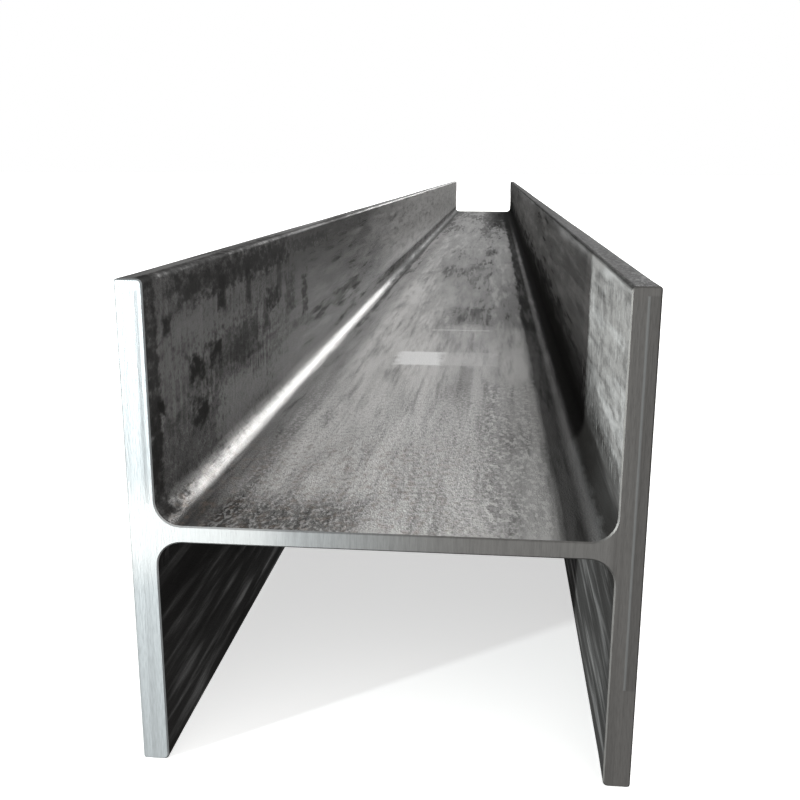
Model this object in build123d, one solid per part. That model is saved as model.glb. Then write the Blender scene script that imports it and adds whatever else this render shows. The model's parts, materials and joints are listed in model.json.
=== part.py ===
from build123d import *
import os

# Driving dimensions in millimetres.
# The section is the standard wide-flange column of 203 by 203 mm and 46 kg to the metre.
SECTION_DEPTH = 203.2  # across both flanges, along X
FLANGE_WIDTH = 203.6  # from tip to tip of one flange, along Z
WEB_THICKNESS = 7.2
FLANGE_THICKNESS = 11.0
ROOT_RADIUS = 10.2  # where each side of the web runs into a flange
TOE_INNER_RADIUS = 2.2  # the rolled corner of a flange tip, towards the web
TOE_OUTER_RADIUS = 1.0  # the rolled corner of a flange tip, on the outer side

# The piece cut from the rolled length.
BEAM_LENGTH = 3000.0  # between the two saw cuts, along Y
SAW_EDGE_BREAK = 0.6  # the sharp edge taken off all round each sawn end

# The beam lies with its web level, on the tips of its two flanges.
WEB_HEIGHT = FLANGE_WIDTH / 2  # from the ground to the middle of the web


def flange_outline():
    """One flange upright, with its outer side towards +X and its inner side towards the web."""
    outline = Rectangle(FLANGE_THICKNESS, FLANGE_WIDTH)
    outline = fillet(outline.vertices().group_by(Axis.X)[-1], TOE_OUTER_RADIUS)
    return fillet(outline.vertices().group_by(Axis.X)[0], TOE_INNER_RADIUS)


def rolled_section():
    """The whole H that the rolls leave, about its own middle, with Y along the flanges."""
    right_flange = Pos((SECTION_DEPTH - FLANGE_THICKNESS) / 2, 0) * flange_outline()
    left_flange = mirror(right_flange, Plane.YZ)
    web = Rectangle(SECTION_DEPTH - 2 * FLANGE_THICKNESS, WEB_THICKNESS)
    section = left_flange + web + right_flange
    roots = section.vertices().filter_by(lambda corner: abs(corner.Y) < WEB_THICKNESS)
    return fillet(roots, ROOT_RADIUS)


def sawn_beam():
    """The section run out to its length and sawn square, lying with its web level."""
    across = Plane.XZ.offset(-BEAM_LENGTH / 2)
    beam = extrude(across * rolled_section(), BEAM_LENGTH)
    sawn_faces = beam.faces().filter_by(Axis.Y)
    beam = chamfer(sawn_faces.edges(), SAW_EDGE_BREAK)
    return Pos(0, 0, WEB_HEIGHT) * beam


def main():
    os.makedirs("parts", exist_ok=True)
    beam = sawn_beam()
    beam.label = "h_beam"
    export_step(beam, "parts/h_beam.step")


if __name__ == "__main__":
    main()
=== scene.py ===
import json
import math
from collections import namedtuple

import bmesh
import bpy
from bpy.props import FloatProperty, FloatVectorProperty, PointerProperty
from mathutils import Euler, Matrix, Vector


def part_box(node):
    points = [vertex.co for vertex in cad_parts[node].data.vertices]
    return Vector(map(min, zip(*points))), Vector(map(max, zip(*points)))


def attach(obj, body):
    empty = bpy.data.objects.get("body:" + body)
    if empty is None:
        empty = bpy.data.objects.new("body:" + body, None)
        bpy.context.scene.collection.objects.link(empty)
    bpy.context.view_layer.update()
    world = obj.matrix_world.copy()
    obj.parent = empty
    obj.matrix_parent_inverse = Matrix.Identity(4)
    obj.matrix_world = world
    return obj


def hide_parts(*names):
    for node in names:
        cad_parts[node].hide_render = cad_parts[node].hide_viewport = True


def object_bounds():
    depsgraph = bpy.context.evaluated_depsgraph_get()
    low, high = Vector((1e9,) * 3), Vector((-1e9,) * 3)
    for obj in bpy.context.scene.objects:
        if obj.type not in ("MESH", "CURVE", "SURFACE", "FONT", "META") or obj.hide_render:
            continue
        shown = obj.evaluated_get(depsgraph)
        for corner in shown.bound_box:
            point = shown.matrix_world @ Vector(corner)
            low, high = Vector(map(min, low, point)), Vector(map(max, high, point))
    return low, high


bl_info = {
    "name": "Rolled Steel Beam",
    "version": (1, 0, 0),
    "blender": (4, 5, 0),
    "location": "View3D > Sidebar > Beam",
    "description": "Dresses a sawn wide-flange steel beam and sets it in a plain studio",
    "category": "Object",
}

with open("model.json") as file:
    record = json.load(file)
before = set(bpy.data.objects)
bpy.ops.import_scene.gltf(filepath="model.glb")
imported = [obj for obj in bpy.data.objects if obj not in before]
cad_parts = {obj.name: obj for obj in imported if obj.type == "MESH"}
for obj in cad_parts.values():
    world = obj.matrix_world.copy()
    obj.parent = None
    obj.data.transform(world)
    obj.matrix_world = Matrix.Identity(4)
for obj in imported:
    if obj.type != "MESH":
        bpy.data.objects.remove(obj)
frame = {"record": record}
CAD_LOW, CAD_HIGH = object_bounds()

MM = 0.001  # in metres, as every length is where nothing else is said

# The section and length as the CAD frame holds them.
BEAM_LOW, BEAM_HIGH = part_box("h_beam")
MOUNTS = {mount["name"]: mount["pos_m"] for mount in frame["record"]["mounts"]}
SECTION_DEPTH = BEAM_HIGH[0] - BEAM_LOW[0]
BEAM_LENGTH = BEAM_HIGH[1] - BEAM_LOW[1]
FLANGE_WIDTH = BEAM_HIGH[2] - BEAM_LOW[2]
WEB_MIDDLE = (MOUNTS["web_upper_face"][2] + MOUNTS["web_lower_face"][2]) / 2
WEB_THICKNESS = MOUNTS["web_upper_face"][2] - MOUNTS["web_lower_face"][2]

# The one size of the section that the marks on it need and the frame doesn't hold.
FLANGE_THICKNESS = 11.0 * MM


def srgb(code):
    """The linear red, green and blue of an sRGB hex colour."""
    parts = [int(code[i:i + 2], 16) / 255 for i in (1, 3, 5)]
    return tuple(c / 12.92 if c <= 0.04045 else ((c + 0.055) / 1.055) ** 2.4 for c in parts)


def length(name, description, default):
    """A size in metres that the sidebar shows as a length."""
    return FloatProperty(
        name=name, description=description, default=default, min=0.0, unit="LENGTH", precision=5
    )


def colour(name, description, code):
    """A colour that the sidebar shows as a swatch."""
    return FloatVectorProperty(
        name=name, description=description, default=srgb(code), min=0.0, max=1.0, subtype="COLOR"
    )


class BeamSizes(bpy.types.PropertyGroup):
    """The sizes of the rolled section that the frame's box doesn't give."""

    flange_thickness: length("Flange thickness", "Through either flange", FLANGE_THICKNESS)
    root_radius: length("Root radius", "Where the web runs into a flange", 10.2 * MM)
    toe_inner_radius: length("Inner toe radius", "Flange tip, on the web's side", 2.2 * MM)
    toe_outer_radius: length("Outer toe radius", "Flange tip, on the outer side", 1.0 * MM)
    saw_edge_break: length("Saw edge break", "Sharpness taken off round a sawn end", 0.6 * MM)
    roll_cell: length("Roll cell", "Mesh spacing across the rolled faces", 10.0 * MM)
    wave_depth: length("Wave depth", "How far the rolled faces wander inwards from flat", 0.35 * MM)
    wave_length: length("Wave length", "From one wave of the rolled faces to the next", 140.0 * MM)


class BeamColours(bpy.types.PropertyGroup):
    """The colours of the beam's finishes."""

    # Also used for the painted reflection, a thin lighter line, in the right root.
    light_scale_and_painted_reflection: colour("Light scale", "Thin mill scale, where the steel shows most", "#8e8d8c")
    scale_dark: colour("Dark scale", "Thick mill scale", "#5b5a59")
    # Real black scale, and also laid as painted shade in the roots, under the web, on the tips and towards
    # the far end.
    black_scale_and_painted_shade: colour("Scale flakes", "Islands of thick black scale, and painted shade", "#131211")
    rust: colour("Rust", "Thin dust of rust in the grain", "#6b5a4c")
    # Real wear in the grain, and also laid as painted sheen, a painted pool of lamp light and a painted
    # highlight.
    worn_steel_and_painted_sheen: colour("Worn steel", "Where the scale is rubbed thin, and painted sheen and lamp light", "#b4b3b1")
    # Lit and shaded copies of the sawn metal: painted light at the left of the cut, painted shade to the
    # right.
    sawn_steel: colour("Sawn steel", "Bare metal, painted lit where the lamp falls on the cut", "#8f9293")
    dull_steel: colour("Dull steel", "Bare metal, painted in shade across the rest of the cut", "#595755")
    paint: colour("Marking paint", "The plain bar brushed on the web", "#d2d2d1")
    dull_shine: colour("Dull shine", "Tint of what little the black scale reflects", "#bcbcbc")


# Places on the beam in millimetres: across from its middle, along from the near sawn end, and up from
# the middle of the web.
WEB_TOP = WEB_THICKNESS / 2 / MM
OUTER_FACE = SECTION_DEPTH / 2 / MM
INNER_FACE = OUTER_FACE - FLANGE_THICKNESS / MM  # the side of either flange towards the web
TIP_HEIGHT = FLANGE_WIDTH / 2 / MM
LENGTH = BEAM_LENGTH / MM
HALFWAY = LENGTH / 2
SKIN = 3.0  # how far a mark reaches through the face that it lies on


def add_node(tree, kind, links=None, **settings):
    """Adds one node, makes its settings, and gives each input a value or another node's output."""
    node = tree.nodes.new(kind)
    for name, value in settings.items():
        setattr(node, name, value)
    for name, value in (links or {}).items():
        if isinstance(value, bpy.types.NodeSocket):
            tree.links.new(value, node.inputs[name])
        else:
            node.inputs[name].default_value = value
    return node


def new_material(name):
    """A material with an empty node tree, a shader and an output."""
    material = bpy.data.materials.new(name)
    material.use_nodes = True
    tree = material.node_tree
    tree.nodes.clear()
    shader = add_node(tree, "ShaderNodeBsdfPrincipled")
    add_node(tree, "ShaderNodeOutputMaterial", {"Surface": shader.outputs["BSDF"]})
    return material, tree, shader


def place_in_mm(tree):
    """Object coordinates in millimetres, from the near sawn end and the middle of the web."""
    coordinates = add_node(tree, "ShaderNodeTexCoord")
    return add_node(
        tree,
        "ShaderNodeMapping",
        {
            "Vector": coordinates.outputs["Object"],
            "Scale": (1 / MM, 1 / MM, 1 / MM),
            "Location": (0, -BEAM_LOW[1] / MM, -WEB_MIDDLE / MM),
        },
    ).outputs["Vector"]


# A pattern in a finish: the size of its spots in mm, the values of the noise between which it rises from
# nothing to full, how many times it is drawn out across, along and up, its detail and its raggedness.
Pattern = namedtuple("Pattern", "size low high stretch detail ragged", defaults=(3.0, 0.5))

# An area of the beam: its middle and half its size in mm, the width of its soft edge, and that width
# along the beam where it differs.
Area = namedtuple("Area", "middle half edge fade", defaults=(None,))

# A mark is an area with a finish, the share that it covers there, and how far its edge wanders.
Mark = namedtuple("Mark", "finish cover middle half edge wander fade", defaults=(0.0, None))

# A layer of a finish: the share that it covers, and the area and the pattern that it keeps to, if any.
Layer = namedtuple("Layer", "finish cover area pattern")


def mottle(tree, place, pattern):
    """The blotches of a pattern, as a mask from 0 to 1."""
    stretched = add_node(
        tree,
        "ShaderNodeVectorMath",
        {0: place, 1: tuple(1 / (pattern.size * times) for times in pattern.stretch)},
        operation="MULTIPLY",
    )
    noise = add_node(
        tree,
        "ShaderNodeTexNoise",
        {
            "Vector": stretched.outputs["Vector"],
            "Scale": 1.0,
            "Detail": pattern.detail,
            "Roughness": pattern.ragged,
        },
    )
    return add_node(
        tree,
        "ShaderNodeMapRange",
        {"Value": noise.outputs["Fac"], "From Min": pattern.low, "From Max": pattern.high},
        interpolation_type="SMOOTHSTEP",
    ).outputs["Result"]


def patch(tree, place, area, rim=None, wander=0.0):
    """An area or a mark, as a mask that falls from 1 to 0 over its soft edge.

    Along the beam the edge is as wide as fade says, and through a face it is as short as the skin is deep.
    Where the edge wanders, it follows the rim mask, by so many millimetres about its place.
    """
    through_x, through_z = (area.edge / SKIN if area.half[axis] == SKIN else 1.0 for axis in (0, 2))
    along = area.edge / (area.fade or area.edge)
    away = add_node(tree, "ShaderNodeVectorMath", {0: place, 1: area.middle}, operation="SUBTRACT")
    apart = add_node(tree, "ShaderNodeVectorMath", {0: away.outputs["Vector"]}, operation="ABSOLUTE")
    outside = add_node(
        tree, "ShaderNodeVectorMath", {0: apart.outputs["Vector"], 1: area.half}, operation="SUBTRACT"
    )
    scaled = add_node(
        tree,
        "ShaderNodeVectorMath",
        {0: outside.outputs["Vector"], 1: (through_x, along, through_z)},
        operation="MULTIPLY",
    )
    sides = add_node(tree, "ShaderNodeSeparateXYZ", {"Vector": scaled.outputs["Vector"]})
    across = add_node(
        tree, "ShaderNodeMath", {0: sides.outputs["X"], 1: sides.outputs["Z"]}, operation="MAXIMUM"
    )
    far = add_node(
        tree, "ShaderNodeMath", {0: across.outputs["Value"], 1: sides.outputs["Y"]}, operation="MAXIMUM"
    ).outputs["Value"]
    if wander:
        far = add_node(
            tree, "ShaderNodeMath", {0: rim, 1: -2 * wander, 2: far}, operation="MULTIPLY_ADD"
        ).outputs["Value"]
    return add_node(
        tree,
        "ShaderNodeMapRange",
        {"Value": far, "From Min": area.edge - wander, "From Max": -wander},
        interpolation_type="SMOOTHSTEP",
    ).outputs["Result"]


def coat(tree, under, over, cover, *masks):
    """One colour laid over another where all the masks meet, covering it by the share given."""
    where = cover
    for mask in masks:
        where = add_node(tree, "ShaderNodeMath", {0: mask, 1: where}, operation="MULTIPLY").outputs["Value"]
    return add_node(tree, "ShaderNodeMix", {0: where, 6: under, 7: over}, data_type="RGBA").outputs[2]


def lay_layers(tree, under, layers, finishes, masks):
    """Layers laid one over another, each in its pattern and its area."""
    for layer in layers:
        where = [masks[name] for name in (layer.pattern, layer.area) if name]
        under = coat(tree, under, finishes[layer.finish], layer.cover, *where)
    return under


def finish_colours(colours):
    """Each of the beam's colours by its name, with its alpha."""
    return {name: (*getattr(colours, name), 1.0) for name in colours.__annotations__}


def on_web(across, along):
    """A place on the web's upper face."""
    return (across, along, WEB_TOP)


def on_left_flange(along, height):
    """A place on the inner face of the left flange."""
    return (-INNER_FACE, along, height)


def on_right_flange(along, height):
    """A place on the inner face of the right flange."""
    return (INNER_FACE, along, height)


# Painted light: a lamp's pool on the right flange, sheen on the web and the far left flange; and rust.
PAINTED_LIGHT_AND_RUST = {
    # Painted light: the right flange is lightened where the key lamp's pool falls near the sawn end.
    "painted lamp light on the right face": Mark("worn_steel_and_painted_sheen", 0.50, on_right_flange(60, 74), (SKIN, 110, 32), 14.0, 6.0),
    "rust on the right face": Mark("rust", 0.15, on_right_flange(60, 60), (SKIN, 90, 50), 30.0, 20.0),
    # Painted sheen: the web is lightened at its front and along the left of its middle.
    "front of the web": Mark("worn_steel_and_painted_sheen", 0.90, on_web(20, 180), (46, 190, SKIN), 30.0, 8.0, fade=200),
    "painted sheen left of the web's middle": Mark("worn_steel_and_painted_sheen", 0.95, on_web(-36, 460), (22, 330, SKIN), 24.0, 8.0, fade=200),
    # Painted sheen: the left flange's inner face is lightened further along the beam.
    "painted sheen on the far left flange": Mark("worn_steel_and_painted_sheen", 1.00, on_left_flange(LENGTH, 50), (SKIN, 1600, 60), 20.0, fade=1000),
}

# Painted shade and highlights, thick scale and stains between the flanges, and what was brushed on the web.
MARKS = {
    # Painted shade along the right root, where the web mirrors the dark flange.
    "right root": Mark("black_scale_and_painted_shade", 0.86, on_web(83, HALFWAY), (11, LENGTH, 9), 7.0, 1.5),
    # A painted reflection: a thin lighter line within the right root's painted shade.
    "painted reflection in the right root": Mark("light_scale_and_painted_reflection", 0.20, on_web(82, HALFWAY), (0.8, LENGTH, SKIN), 2.8, 0.3),
    # Painted shade low on the right flange, under the pool of lamp light, rising along the beam.
    "right foot": Mark("black_scale_and_painted_shade", 0.80, on_right_flange(20, 5), (SKIN, 60, 20), 12.0, 4.0, fade=60),
    "right foot shade": Mark(
        "black_scale_and_painted_shade", 0.90, on_right_flange(110 + HALFWAY, 3), (SKIN, HALFWAY, 18), 24.0, 2.0, fade=80
    ),
    "right foot shade, higher": Mark(
        "black_scale_and_painted_shade", 0.75, on_right_flange(150 + HALFWAY, 5), (SKIN, HALFWAY, 32), 26.0, 2.0, fade=80
    ),
    # Painted shade along the left root, where the web mirrors the dark flange.
    "beside the left root": Mark("black_scale_and_painted_shade", 0.52, on_web(-76, HALFWAY), (8, LENGTH, SKIN), 12.0, 2.5),
    # A painted highlight that brightens the far softbox's reflection along the left root near the sawn end.
    "painted highlight on the left root": Mark("worn_steel_and_painted_sheen", 0.62, (-87, 150, 7), (3.0, 400, 3.5), 2.5, 0.8, fade=600),
    # Painted shade that fades the left root's highlight further along.
    "left root, far": Mark("black_scale_and_painted_shade", 0.85, (-88, LENGTH, 9), (6, 2000, 9), 6.0, fade=700),
    # Painted shade over the whole inside under the web.
    "painted shade under the web": Mark("black_scale_and_painted_shade", 0.95, (0, HALFWAY, -55), (INNER_FACE, LENGTH, 50), 2.0, 0.5),
    # Painted shade on the left flange near the sawn end, fading along it, so the face lightens further on.
    "left face": Mark("black_scale_and_painted_shade", 0.47, on_left_flange(200, 55), (SKIN, 250, 60), 30.0, fade=450),
    # Painted shade in the web's near left corner, beside the root.
    "painted shade in the web's near left corner": Mark("black_scale_and_painted_shade", 0.70, on_web(-58, 5), (30, 14, SKIN), 36.0, 4.0),
    "beside the middle": Mark("black_scale_and_painted_shade", 0.28, on_web(24, 190), (8, 230, SKIN), 24.0, 6.0, fade=90),
    "before the bar": Mark("black_scale_and_painted_shade", 0.40, on_web(24, 285), (3, 22, SKIN), 26.0, 5.0, fade=60),
    "bar": Mark("paint", 0.15, on_web(8.5, 363), (35.5, 24, SKIN), 4.0, 2.0),
    "bar, brushed twice": Mark("paint", 0.92, on_web(-13, 363), (12, 23, SKIN), 8.0, 2.0, fade=6),
    "chalk line": Mark("paint", 0.35, on_web(14, 496), (24, 2, SKIN), 2.0, 1.5),
    "stain behind the line": Mark("black_scale_and_painted_shade", 0.64, on_web(19, 585), (11, 38, SKIN), 18.0, 5.0, fade=40),
    # A long stain, which also paints the web dimmer further along.
    "long stain and painted shade": Mark("black_scale_and_painted_shade", 0.40, on_web(5, 1000), (24, 260, SKIN), 20.0, 10.0, fade=300),
    # Painted shade that darkens the far part of the web, the far right most.
    "far web": Mark("black_scale_and_painted_shade", 0.60, on_web(0, LENGTH), (INNER_FACE, 200, SKIN), 20.0, fade=1500),
    "far right of the web": Mark(
        "black_scale_and_painted_shade", 0.85, on_web(62, LENGTH), (24, 300, SKIN), 50.0, 5.0, fade=1900
    ),
}

# Painted shade darkening the tips and the left outer side, out of reach of the marks between the flanges.
OUTSIDE = {
    # Painted shade that tones down the lamps' sheen on the left outer side.
    "left outer side": Mark("black_scale_and_painted_shade", 0.45, (-OUTER_FACE, HALFWAY, 0), (1, LENGTH, 110), 1.0),
    "left tip": Mark("black_scale_and_painted_shade", 0.50, (-96, HALFWAY, TIP_HEIGHT), (7, LENGTH, 0.8), 1.4, 0.2),
    # The right tip is painted darkest, dimming the far softbox's reflection on it.
    "right tip": Mark("black_scale_and_painted_shade", 0.96, (96, HALFWAY, TIP_HEIGHT), (7, LENGTH, 0.8), 1.4, 0.2),
}

# Islands of thick scale on the left flange, from the sawn end on.
BLOTS = {
    "strip at the saw cut": Mark("black_scale_and_painted_shade", 0.85, on_left_flange(3, 55), (SKIN, 9, 60), 4.0, 2.5),
    "band under the tip": Mark(
        "black_scale_and_painted_shade", 0.88, on_left_flange(148, 92), (SKIN, 100, 4), 7.0, 4.5, fade=24
    ),
    "thin band under the tip": Mark(
        "black_scale_and_painted_shade", 0.75, on_left_flange(340, 92), (SKIN, 55, 1.5), 4.0, 3.0, fade=20
    ),
    "mottled foot": Mark("black_scale_and_painted_shade", 0.50, on_left_flange(40, 24), (SKIN, 48, 9), 14.0, 9.0),
    "pit by the cut": Mark("black_scale_and_painted_shade", 0.97, on_left_flange(14, 48), (SKIN, 2.5, 1.8), 2.0, 1.5),
    "upper pit": Mark("black_scale_and_painted_shade", 0.95, on_left_flange(26, 80), (SKIN, 3.0, 2.4), 4.0, 1.5),
    "second upper pit": Mark("black_scale_and_painted_shade", 0.95, on_left_flange(106, 80), (SKIN, 4.0, 1.8), 4.0, 2.0),
    "long blot": Mark("black_scale_and_painted_shade", 0.98, on_left_flange(64, 54), (SKIN, 7, 1.8), 8.0, 5.0),
    "blot behind it": Mark("black_scale_and_painted_shade", 0.98, on_left_flange(94, 57), (SKIN, 7, 1.6), 8.0, 4.5),
    "low blot": Mark("black_scale_and_painted_shade", 0.92, on_left_flange(66, 33), (SKIN, 7, 1.6), 8.0, 5.0),
    "trail of the blots": Mark("black_scale_and_painted_shade", 0.60, on_left_flange(148, 54), (SKIN, 26, 4), 12.0, 7.0),
    "drop from the band": Mark("black_scale_and_painted_shade", 0.85, on_left_flange(110, 84), (SKIN, 2.5, 6), 5.0, 1.5),
    "second drop": Mark("black_scale_and_painted_shade", 0.80, on_left_flange(160, 82), (SKIN, 2.5, 8), 5.0, 1.5),
    "third drop": Mark("black_scale_and_painted_shade", 0.65, on_left_flange(236, 76), (SKIN, 3.0, 10), 8.0, 2.0),
    "ring": Mark("black_scale_and_painted_shade", 0.85, on_left_flange(217, 66), (SKIN, 13, 2.4), 6.0, 3.0),
    "smudge by the ring": Mark("black_scale_and_painted_shade", 0.60, on_left_flange(199, 60), (SKIN, 4, 7), 8.0, 4.0),
    "middle smudge": Mark("black_scale_and_painted_shade", 0.55, on_left_flange(268, 63), (SKIN, 8, 5), 12.0, 5.0),
    "far smudge": Mark("black_scale_and_painted_shade", 0.65, on_left_flange(317, 57), (SKIN, 5, 8), 12.0, 5.0),
}

# Marks longer than this, from the middle to either end, have edges drawn out by the rolls.
DRAWN_OUT = 120.0

# The parts of the scale that have patterns of their own.
AREAS = {
    "between the flanges": Area((0, HALFWAY, 0), (INNER_FACE + SKIN, LENGTH, 2 * TIP_HEIGHT), 3.0),
    "blistered flange": Area(on_left_flange(60, 50), (SKIN, 70, 60), 10.0, fade=260),
    "front of the web": Area(on_web(-8, 70), (56, 80, SKIN), 14.0, fade=220),
    # The pool of painted lamp light on the right flange, where smudges, grain and scratches lie.
    "rubbed flange": Area(on_right_flange(60, 60), (SKIN, 110, 34), 7.0),
    "tips": Area((0, HALFWAY, TIP_HEIGHT), (2 * OUTER_FACE, LENGTH, 0.8), 1.4),
    "crackled strip": Area(on_web(53, 140), (11, 110, SKIN), 8.0, fade=60),
    "dusty corner": Area(on_web(-30, 60), (30, 40, SKIN), 60.0),
}

# The streaks are as wide as the lines that the rolls leave, a few millimetres. The real grain, pits,
# scratches, crackle and dust are finer than this, and are drawn at one to four millimetres so that they
# show.
SCALE_PATTERNS = {
    "drift": Pattern(50, 0.35, 0.65, (1, 9, 1), 4.0),
    "frayed rim": Pattern(5.0, 0.25, 0.75, (1, 2.2, 1), 4.0, 0.65),
    "drawn rim": Pattern(5.0, 0.25, 0.75, (1, 16, 1), 4.0),
    "density": Pattern(4.0, 0.10, 0.55, (1, 2, 1), 4.0, 0.6),
    "clouds": Pattern(13, 0.42, 0.68, (1, 6, 1), 6.0, 0.55),
    "streaks": Pattern(6.0, 0.44, 0.72, (1, 14, 1), 5.0, 0.62),
    "glints": Pattern(8.0, 0.46, 0.68, (1, 14, 1), 5.0, 0.62),
    "pale grain": Pattern(1.6, 0.48, 0.62, (1, 2.4, 1), 3.0, 0.62),
    "dark grain": Pattern(1.7, 0.46, 0.64, (1, 2.4, 1), 3.0, 0.62),
    "smudges": Pattern(9.0, 0.42, 0.66, (1, 2.0, 1), 4.0, 0.6),
    "scratches": Pattern(2.0, 0.52, 0.66, (1, 1.5, 4), 4.0, 0.6),
    "crackle": Pattern(2.2, 0.48, 0.60, (1, 2.4, 1), 4.0, 0.65),
    "dust": Pattern(4.0, 0.48, 0.66, (1, 1.5, 1), 5.0, 0.7),
    "blisters": Pattern(8, 0.42, 0.72, (1, 2.4, 1), 5.0, 0.6),
    "pits": Pattern(2.6, 0.46, 0.70, (1, 1.6, 1), 3.0, 0.62),
    "drips": Pattern(4.0, 0.46, 0.68, (1, 1, 9), 4.0, 0.6),
    "roughened skin": Pattern(0.8, 0.3, 0.7, (1, 1.6, 1), 3.0, 0.6),
}

# What lies under the marks on the scale, and what lies over them.
UNDER_THE_MARKS = (
    Layer("black_scale_and_painted_shade", 0.26, None, "clouds"),
    Layer("black_scale_and_painted_shade", 0.56, "off the blisters", "streaks"),
    Layer("worn_steel_and_painted_sheen", 0.66, "off the blisters", "glints"),
)
OVER_THE_MARKS = (
    Layer("black_scale_and_painted_shade", 0.38, "front of the web", "dark grain"),
    Layer("worn_steel_and_painted_sheen", 0.50, "front of the web", "pale grain"),
    Layer("black_scale_and_painted_shade", 0.15, "tips", "dark grain"),
    Layer("worn_steel_and_painted_sheen", 0.03, "tips", "pale grain"),
    # Smudges, grain and scratches within the pool of painted lamp light on the right flange.
    Layer("black_scale_and_painted_shade", 0.38, "rubbed flange", "smudges"),
    Layer("black_scale_and_painted_shade", 0.22, "rubbed flange", "dark grain"),
    Layer("worn_steel_and_painted_sheen", 0.40, "rubbed flange", "scratches"),
    Layer("black_scale_and_painted_shade", 0.28, "crackled strip", None),
    Layer("worn_steel_and_painted_sheen", 0.80, "crackled strip", "crackle"),
    Layer("rust", 0.40, "dusty corner", "dust"),
    Layer("black_scale_and_painted_shade", 0.34, "blistered flange", "blisters"),
    Layer("black_scale_and_painted_shade", 0.45, "blistered flange", "pits"),
    Layer("worn_steel_and_painted_sheen", 0.08, "blistered flange", "drips"),
)

# Where the scale is black it is thick and dull, and where it is grey the steel glints through. The two
# tones are linear.
BLACK_TONE, GREY_TONE = 0.01, 0.09
FROM_BLACK_TO_GREY = {"Roughness": (0.75, 0.30), "Metallic": (0.0, 0.5)}
DULL_SHINE_LEVEL = 0.02
SCALE_RELIEF = 0.10 * MM
BLISTER_SHARE = 0.4  # how deep the blisters go, as a share of that relief


def hot_rolled_mill_scale(colours):
    """Hot-rolled steel under its mill scale.

    The scale is blue-black iron oxide from the rolls: dull and dark face on, with a soft grey sheen at a
    low angle, drawn out along the rolling, blistered into black islands and dusted with rust.
    """
    material, tree, shader = new_material("hot_rolled_mill_scale")
    place = place_in_mm(tree)
    finishes = finish_colours(colours)
    masks = {name: mottle(tree, place, pattern) for name, pattern in SCALE_PATTERNS.items()}
    masks.update((name, patch(tree, place, area)) for name, area in AREAS.items())
    masks["off the blisters"] = add_node(
        tree, "ShaderNodeMath", {0: 1.0, 1: masks["blistered flange"]}, operation="SUBTRACT"
    ).outputs["Value"]

    def lay_marks(under, marks, *within):
        """Marks laid one over another, each only within the masks named."""
        for mark in marks.values():
            rim = masks["drawn rim" if mark.half[1] > DRAWN_OUT else "frayed rim"]
            where = [patch(tree, place, mark, rim, mark.wander)] + [masks[name] for name in within]
            under = coat(tree, under, finishes[mark.finish], mark.cover, *where)
        return under

    tone = coat(tree, finishes["scale_dark"], finishes["light_scale_and_painted_reflection"], 1.0, masks["drift"])
    tone = lay_marks(tone, PAINTED_LIGHT_AND_RUST, "between the flanges")
    tone = lay_layers(tree, tone, UNDER_THE_MARKS, finishes, masks)
    tone = lay_marks(tone, MARKS, "between the flanges")
    tone = lay_marks(tone, OUTSIDE)
    tone = lay_layers(tree, tone, OVER_THE_MARKS, finishes, masks)
    tone = lay_marks(tone, BLOTS, "density")
    tree.links.new(tone, shader.inputs["Base Color"])

    height = add_node(
        tree,
        "ShaderNodeMath",
        {0: masks["blisters"], 1: -BLISTER_SHARE, 2: masks["roughened skin"]},
        operation="MULTIPLY_ADD",
    )
    relief = add_node(
        tree,
        "ShaderNodeBump",
        {"Height": height.outputs["Value"], "Distance": SCALE_RELIEF, "Strength": 1.0},
    )
    tree.links.new(relief.outputs["Normal"], shader.inputs["Normal"])

    bright = add_node(tree, "ShaderNodeRGBToBW", {"Color": tone}).outputs["Val"]
    for socket, (at_black, at_grey) in FROM_BLACK_TO_GREY.items():
        level = add_node(
            tree,
            "ShaderNodeMapRange",
            {
                "Value": bright,
                "From Min": BLACK_TONE,
                "From Max": GREY_TONE,
                "To Min": at_black,
                "To Max": at_grey,
            },
        )
        tree.links.new(level.outputs["Result"], shader.inputs[socket])
    shader.inputs["Specular IOR Level"].default_value = DULL_SHINE_LEVEL
    shader.inputs["Specular Tint"].default_value = finishes["dull_shine"]
    return material


# Across the sawn end in mm: painted lit up to the first place, painted in shade from the second on.
LIT_UP_TO, SHADED_FROM = -85.0, 42.0

# The strokes are the marks of the teeth, drawn wider than they are so that they show, and the bands are
# where the saw paused and bit again.
SAW_PATTERNS = {
    "strokes": Pattern(0.6, 0.35, 0.75, (1, 1, 9), 4.0, 0.6),
    "bands": Pattern(2.6, 0.42, 0.62, (1, 1, 60)),
}
SAW_LAYERS = (Layer("black_scale_and_painted_shade", 0.20, None, "strokes"), Layer("black_scale_and_painted_shade", 0.12, None, "bands"))
SAW_MARKS = {
    "line down the left flange": Mark("black_scale_and_painted_shade", 0.30, (-93.3, 0, 55), (0.4, SKIN, 42), 0.8),
    "step by the right edge": Mark("black_scale_and_painted_shade", 0.18, (99.5, 0, 20), (2.2, SKIN, 78), 0.9),
    "rim of the step": Mark("sawn_steel", 0.22, (96.9, 0, 20), (0.15, SKIN, 78), 0.6),
    "end of the web": Mark("worn_steel_and_painted_sheen", 0.05, (0, 0, 0), (86, SKIN, 4), 5.0),
    # Painted light on the left of the web's end, as the lamp's light falls off across the cut.
    "left of the web's end": Mark("worn_steel_and_painted_sheen", 0.45, (-80, 0, 0), (26, SKIN, 4), 24.0),
}
SAW_RELIEF = 0.02 * MM


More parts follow.
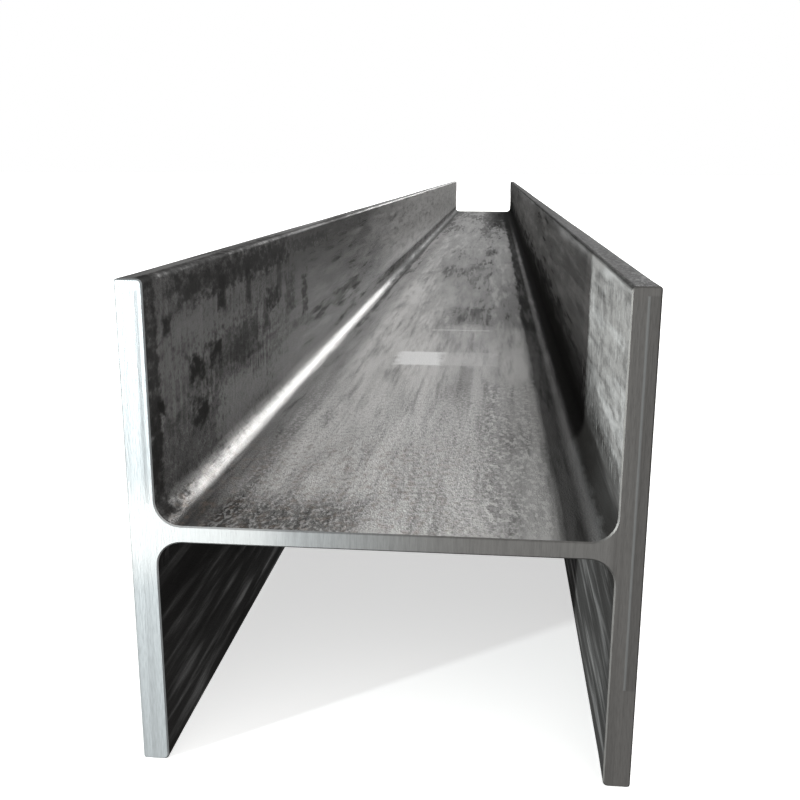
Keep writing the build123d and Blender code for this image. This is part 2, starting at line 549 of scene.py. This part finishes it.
def cold_sawn_steel(colours):
    """Steel bared by a cold circular saw: bright metal with fine upright strokes from the teeth.

    Painted light and shade: the cut is brightest at the left flange and darkens towards the right one.
    """
    material, tree, shader = new_material("cold_sawn_steel")
    place = place_in_mm(tree)
    finishes = finish_colours(colours)
    masks = {name: mottle(tree, place, pattern) for name, pattern in SAW_PATTERNS.items()}
    sides = add_node(tree, "ShaderNodeSeparateXYZ", {"Vector": place})
    shaded_share = add_node(
        tree,
        "ShaderNodeMapRange",
        {"Value": sides.outputs["X"], "From Min": LIT_UP_TO, "From Max": SHADED_FROM},
        interpolation_type="SMOOTHSTEP",
    ).outputs["Result"]
    tone = coat(tree, finishes["sawn_steel"], finishes["dull_steel"], 1.0, shaded_share)
    tone = lay_layers(tree, tone, SAW_LAYERS, finishes, masks)
    for mark in SAW_MARKS.values():
        tone = coat(tree, tone, finishes[mark.finish], mark.cover, patch(tree, place, mark))
    tree.links.new(tone, shader.inputs["Base Color"])
    relief = add_node(
        tree, "ShaderNodeBump", {"Height": masks["strokes"], "Distance": SAW_RELIEF, "Strength": 1.0}
    )
    tree.links.new(relief.outputs["Normal"], shader.inputs["Normal"])
    shader.inputs["Metallic"].default_value = 1.0
    shader.inputs["Roughness"].default_value = 0.50
    return material


# How the mesh is told apart and divided.
SLACK = 0.1 * MM  # within which two lengths are the same
FACING = 0.9  # the least share of a face's normal along the axis that it looks along
FLAT_WITHIN = math.radians(1)  # faces that meet at less than this are merged
SMOOTH_UNDER = math.radians(35)  # edges that turn by less than this are shaded smooth
ROOT_STEPS, INNER_TOE_STEPS, OUTER_TOE_STEPS = 8, 4, 3  # the flat steps of each rounded corner
CUTS_ALONG = (14, 9)  # in two rounds, which leave 15 times 10 cells


def select_only(obj):
    """Leaves one object selected and active."""
    bpy.ops.object.select_all(action="DESELECT")
    obj.select_set(True)
    bpy.context.view_layer.objects.active = obj


def pick(obj, kind, test, *known):
    """In edit mode, selects only the faces or edges that pass the test, given the lengths it has to know."""
    bpy.ops.mesh.select_mode(type=kind)
    bpy.ops.mesh.select_all(action="DESELECT")
    shape = bmesh.from_edit_mesh(obj.data)
    for part in (shape.faces if kind == "FACE" else shape.edges):
        if test(part, *known):
            part.select_set(True)
    bmesh.update_edit_mesh(obj.data)


def runs_along(edge):
    """Whether an edge lies along the rolling direction."""
    span = edge.verts[1].co - edge.verts[0].co
    return abs(span.y) > abs(span.x) + abs(span.z)


def near(value, target):
    """Whether two lengths are the same."""
    return abs(value - target) < SLACK


def is_web_side(face):
    """Whether a face of the plain web plate looks sideways."""
    return abs(face.normal.x) > FACING


def is_flange_root(face, web_half):
    """Whether a face beyond the web looks up or down, where a flange grows."""
    return abs(face.normal.z) > FACING and abs(face.calc_center_median().x) > web_half


def is_root(edge):
    """Whether an edge is the corner between the web and a flange."""
    return runs_along(edge) and near(abs(edge.verts[0].co.z - WEB_MIDDLE), WEB_THICKNESS / 2)


def is_inner_toe(edge, web_half):
    """Whether an edge is the corner of a flange tip on the web's side."""
    corner = edge.verts[0].co
    at_tip = near(abs(corner.z - WEB_MIDDLE), FLANGE_WIDTH / 2)
    return runs_along(edge) and at_tip and near(abs(corner.x), web_half)


def is_outer_toe(edge):
    """Whether an edge is the corner of a flange tip on the outer side."""
    return runs_along(edge) and near(abs(edge.verts[0].co.x), SECTION_DEPTH / 2)


def is_saw_rim(edge):
    """Whether an edge lies round a sawn end."""
    first, second = (corner.co.y for corner in edge.verts)
    return near(abs(first), BEAM_LENGTH / 2) and near(first, second)


class BEAM_OT_roll_and_saw(bpy.types.Operator):
    """Models the beam as one rolled and sawn piece and finishes its faces"""

    bl_idname = "beam.roll_and_saw"
    bl_label = "Roll and Saw the Beam"

    def execute(self, context):
        """Builds the beam from its web outwards, then gives it its finishes."""
        sizes = context.scene.beam_sizes
        colours = context.scene.beam_colours
        web_half = SECTION_DEPTH / 2 - sizes.flange_thickness
        bpy.ops.object.select_all(action="DESELECT")
        bpy.ops.mesh.primitive_cube_add(
            size=1,
            location=(0, 0, WEB_MIDDLE),
            scale=(2 * web_half, BEAM_LENGTH, WEB_THICKNESS),
        )
        beam = context.active_object
        beam.name = beam.data.name = "rolled_beam"
        bpy.ops.object.transform_apply(location=True, rotation=True, scale=True)
        bpy.ops.object.mode_set(mode="EDIT")
        self.raise_flanges(beam, sizes, web_half)
        self.round_corners(beam, sizes, web_half)
        self.cut_cells(beam, sizes, web_half)
        bpy.ops.object.mode_set(mode="OBJECT")
        self.finish_faces(beam, sizes, colours)
        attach(beam, "root")
        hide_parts("h_beam")
        return {"FINISHED"}

    def raise_flanges(self, beam, sizes, web_half):
        """Grows a flange from each side of the web, then merges the faces that lie flat together."""
        pick(beam, "FACE", is_web_side)
        bpy.ops.mesh.extrude_region_shrink_fatten(
            TRANSFORM_OT_shrink_fatten={"value": sizes.flange_thickness}
        )
        pick(beam, "FACE", is_flange_root, web_half)
        bpy.ops.mesh.extrude_region_shrink_fatten(
            TRANSFORM_OT_shrink_fatten={"value": (FLANGE_WIDTH - WEB_THICKNESS) / 2}
        )
        bpy.ops.mesh.select_all(action="SELECT")
        bpy.ops.mesh.dissolve_limited(angle_limit=FLAT_WITHIN)

    def round_corners(self, beam, sizes, web_half):
        """Rounds the roots and the toes, and breaks the sharp edge round each sawn end."""
        for radius, steps, corner, *known in (
            (sizes.root_radius, ROOT_STEPS, is_root),
            (sizes.toe_inner_radius, INNER_TOE_STEPS, is_inner_toe, web_half),
            (sizes.toe_outer_radius, OUTER_TOE_STEPS, is_outer_toe),
            (sizes.saw_edge_break, 1, is_saw_rim),
        ):
            pick(beam, "EDGE", corner, *known)
            bpy.ops.mesh.bevel(offset=radius, segments=steps, profile=0.5, affect="EDGES")

    def cut_cells(self, beam, sizes, web_half):
        """Divides the rolled faces into cells that can follow the waves the rolls leave."""
        flat = web_half - sizes.root_radius
        count = int(2 * flat / sizes.roll_cell)
        for i in range(1, count):
            across = -flat + 2 * flat * i / count
            bpy.ops.mesh.select_all(action="SELECT")
            bpy.ops.mesh.bisect(plane_co=(across, 0, 0), plane_no=(1, 0, 0))
        root_top = WEB_THICKNESS / 2 + sizes.root_radius
        toe = FLANGE_WIDTH / 2 - sizes.toe_inner_radius
        rows = int((toe - root_top) / sizes.roll_cell)
        for side in (-1, 1):
            for i in range(rows + 1):
                height = WEB_MIDDLE + side * (root_top + (toe - root_top) * i / rows)
                bpy.ops.mesh.select_all(action="SELECT")
                bpy.ops.mesh.bisect(plane_co=(0, 0, height), plane_no=(0, 0, 1))
        for cuts in CUTS_ALONG:
            pick(beam, "EDGE", runs_along)
            bpy.ops.mesh.subdivide(number_cuts=cuts)

    def wave_faces(self, beam, sizes):
        """Lets the rolled faces wander inwards by less than the rolling tolerance, but not at the cuts."""
        beside_the_cuts = BEAM_LENGTH / 2 - sizes.saw_edge_break - SLACK
        free = [vert.index for vert in beam.data.vertices if abs(vert.co.y) < beside_the_cuts]
        beam.vertex_groups.new(name="away_from_the_cuts").add(free, 1.0, "REPLACE")
        waves = bpy.data.textures.new("rolling_waves", type="CLOUDS")
        waves.noise_scale = sizes.wave_length
        bpy.ops.object.modifier_add(type="DISPLACE")
        displace = beam.modifiers[-1]
        displace.texture = waves
        displace.texture_coords = "LOCAL"
        displace.mid_level = 1.0
        displace.strength = sizes.wave_depth
        displace.vertex_group = "away_from_the_cuts"
        bpy.ops.object.modifier_apply(modifier=displace.name)

    def finish_faces(self, beam, sizes, colours):
        """Gives the faces their waves, smooth shading and finishes."""
        select_only(beam)
        self.wave_faces(beam, sizes)
        beam.data.materials.append(hot_rolled_mill_scale(colours))
        beam.data.materials.append(cold_sawn_steel(colours))
        sawn_from = BEAM_LENGTH / 2 - sizes.saw_edge_break - SLACK
        for face in beam.data.polygons:
            least = min(abs(beam.data.vertices[index].co.y) for index in face.vertices)
            face.material_index = int(least > sawn_from)
        bpy.ops.object.shade_smooth_by_angle(angle=SMOOTH_UNDER)
        bpy.ops.object.modifier_add(type="WEIGHTED_NORMAL")
        beam.modifiers[-1].keep_sharp = True
        bpy.ops.object.modifier_apply(modifier=beam.modifiers[-1].name)


# The camera, as it stood to the near sawn end in the photograph.
CAMERA_FROM_NEAR_END = (40.95 * MM, -352.34 * MM, 142.35 * MM)  # from the middle of the section there
CAMERA_DOWN = math.radians(13.453)
CAMERA_LEFT = math.radians(5.47)
CAMERA_ROLL = math.radians(-0.234)
SENSOR_WIDTH = 36.0  # millimetres, as Blender counts lenses
FOCAL_LENGTH = 43.48  # millimetres
NEAREST_SEEN, FARTHEST_SEEN = 0.01, 200.0

# The floor, which glows softly.
FLOOR_SIZE = 80.0
FLOOR_COLOUR = "#f2f2f0"
FLOOR_GLOW = 0.6
WHITE = (*srgb("#ffffff"), 1.0)

# The studio's lights: where each softbox hangs, what it points at, its size, power in watts and tint.
Softbox = namedtuple("Softbox", "at towards wide tall power tint")

SOFTBOXES = {
    "key_strip": Softbox((-2.6, -3.55, 0.16), (0.0, -1.5, 0.13), 0.12, 0.32, 400, "#f7feff"),
    "far_softbox": Softbox((2.2, 7.6, 3.1), (-0.1, 0.0, 0.1), 1.6, 1.2, 600, "#ffffff"),
}

# The sky's glows: the strength of each, and along each axis where it starts, where it is full, and the
# share that it starts from.
SKY_LEAST = 0.06
SKY_GLOWS = {
    "overhead": (1.5, {"Z": (0.06, 0.18, 0.0), "Y": (-0.7, 0.5, 0.3), "X": (-0.35, 0.05, 0.25)}),
    "front": (1.0, {"Y": (-0.2, -0.8, 0.0)}),
    "behind": (0.5, {"Y": (0.5, 0.8, 0.0), "Z": (-0.2, -0.32, 0.0)}),
    "left side": (0.45, {"X": (-0.3, -0.7, 0.0), "Z": (0.5, 0.2, 0.0)}),
    "right side": (0.45, {"X": (0.3, 0.7, 0.0), "Z": (0.5, 0.2, 0.0)}),
}


class BEAM_OT_set_stage(bpy.types.Operator):
    """Sets the floor, the lights and the camera"""

    bl_idname = "beam.set_stage"
    bl_label = "Set the Stage"

    def execute(self, context):
        """Lays out the studio round the beam."""
        self.lay_floor()
        self.hang_lights()
        self.light_world(context)
        self.place_camera(context)
        context.scene.view_settings.view_transform = "Standard"
        return {"FINISHED"}

    def lay_floor(self):
        """Lays a pale floor that glows softly, so the ground under the web stays pale too."""
        bpy.ops.object.select_all(action="DESELECT")
        bpy.ops.mesh.primitive_plane_add(size=FLOOR_SIZE, location=(0, 0, CAD_LOW[2]))
        floor = bpy.context.active_object
        floor.name = "studio_floor"
        material, _, shader = new_material("opal_light_table")
        shader.inputs["Base Color"].default_value = (*srgb(FLOOR_COLOUR), 1.0)
        shader.inputs["Roughness"].default_value = 0.9
        shader.inputs["Specular IOR Level"].default_value = 0.1
        shader.inputs["Emission Color"].default_value = WHITE
        shader.inputs["Emission Strength"].default_value = FLOOR_GLOW
        floor.data.materials.append(material)
        floor.visible_glossy = False
        floor.visible_diffuse = False

    def hang_lights(self):
        """Hangs the softboxes, each turned to what it points at."""
        for name, box in SOFTBOXES.items():
            bpy.ops.object.light_add(type="AREA", location=box.at)
            light = bpy.context.active_object
            light.name = light.data.name = name
            light.data.shape = "RECTANGLE"
            light.data.size = box.wide
            light.data.size_y = box.tall
            light.data.energy = box.power
            light.data.color = srgb(box.tint)
            way = Vector(box.towards) - Vector(box.at)
            light.rotation_euler = way.to_track_quat("-Z", "Y").to_euler()

    def light_world(self, context):
        """Lights the beam by the sky's glows, and shows the camera plain white."""
        world = bpy.data.worlds.new("studio_light")
        context.scene.world = world
        world.use_nodes = True
        tree = world.node_tree
        tree.nodes.clear()
        way = add_node(tree, "ShaderNodeTexCoord")
        sides = add_node(tree, "ShaderNodeSeparateXYZ", {"Vector": way.outputs["Generated"]})
        level = SKY_LEAST
        for strength, rises in SKY_GLOWS.values():
            glow = strength
            for axis, (low, high, least) in rises.items():
                part = add_node(
                    tree,
                    "ShaderNodeMapRange",
                    {"Value": sides.outputs[axis], "From Min": low, "From Max": high, "To Min": least},
                    interpolation_type="SMOOTHSTEP",
                ).outputs["Result"]
                glow = add_node(
                    tree, "ShaderNodeMath", {0: part, 1: glow}, operation="MULTIPLY"
                ).outputs["Value"]
            level = add_node(tree, "ShaderNodeMath", {0: glow, 1: level}, operation="ADD").outputs["Value"]
        lit = add_node(tree, "ShaderNodeBackground", {"Strength": level})
        seen = add_node(tree, "ShaderNodeBackground")
        for background in (lit, seen):
            background.inputs["Color"].default_value = WHITE
        ray = add_node(tree, "ShaderNodeLightPath")
        choice = add_node(
            tree,
            "ShaderNodeMixShader",
            {0: ray.outputs["Is Camera Ray"], 1: lit.outputs[0], 2: seen.outputs[0]},
        )
        add_node(tree, "ShaderNodeOutputWorld", {"Surface": choice.outputs[0]})

    def place_camera(self, context):
        """Stands the camera where the photograph was taken from."""
        middle = (BEAM_LOW[0] + BEAM_HIGH[0]) / 2
        x, y, z = CAMERA_FROM_NEAR_END
        bpy.ops.object.camera_add(location=(middle + x, BEAM_LOW[1] + y, WEB_MIDDLE + z))
        camera = bpy.context.active_object
        camera.name = "photo_camera"
        camera.data.sensor_width = SENSOR_WIDTH
        camera.data.lens = FOCAL_LENGTH
        camera.data.clip_start = NEAREST_SEEN
        camera.data.clip_end = FARTHEST_SEEN
        aim = Euler((math.pi / 2 - CAMERA_DOWN, 0, CAMERA_LEFT)).to_matrix()
        camera.rotation_euler = (aim @ Matrix.Rotation(-CAMERA_ROLL, 3, "Z")).to_euler()
        context.scene.camera = camera


class BEAM_PT_sidebar(bpy.types.Panel):
    """Lists the beam's sizes, colours and steps in the 3D view's sidebar"""

    bl_idname = "BEAM_PT_sidebar"
    bl_label = "Rolled Steel Beam"
    bl_space_type = "VIEW_3D"
    bl_region_type = "UI"
    bl_category = "Beam"

    def draw(self, context):
        """Lists every size and colour, then the two steps."""
        for group in (context.scene.beam_sizes, context.scene.beam_colours):
            for name in group.__annotations__:
                self.layout.prop(group, name)
        self.layout.operator(BEAM_OT_roll_and_saw.bl_idname)
        self.layout.operator(BEAM_OT_set_stage.bl_idname)


CLASSES = (BeamSizes, BeamColours, BEAM_OT_roll_and_saw, BEAM_OT_set_stage, BEAM_PT_sidebar)


def register():
    """Adds the classes and the scene's sizes and colours."""
    for item in CLASSES:
        bpy.utils.register_class(item)
    bpy.types.Scene.beam_sizes = PointerProperty(type=BeamSizes)
    bpy.types.Scene.beam_colours = PointerProperty(type=BeamColours)


def unregister():
    """Takes away what register added."""
    del bpy.types.Scene.beam_colours
    del bpy.types.Scene.beam_sizes
    for item in reversed(CLASSES):
        bpy.utils.unregister_class(item)


def main():
    """Builds and stages the beam."""
    register()
    bpy.ops.beam.roll_and_saw()
    bpy.ops.beam.set_stage()


if __name__ == "__main__":
    main()
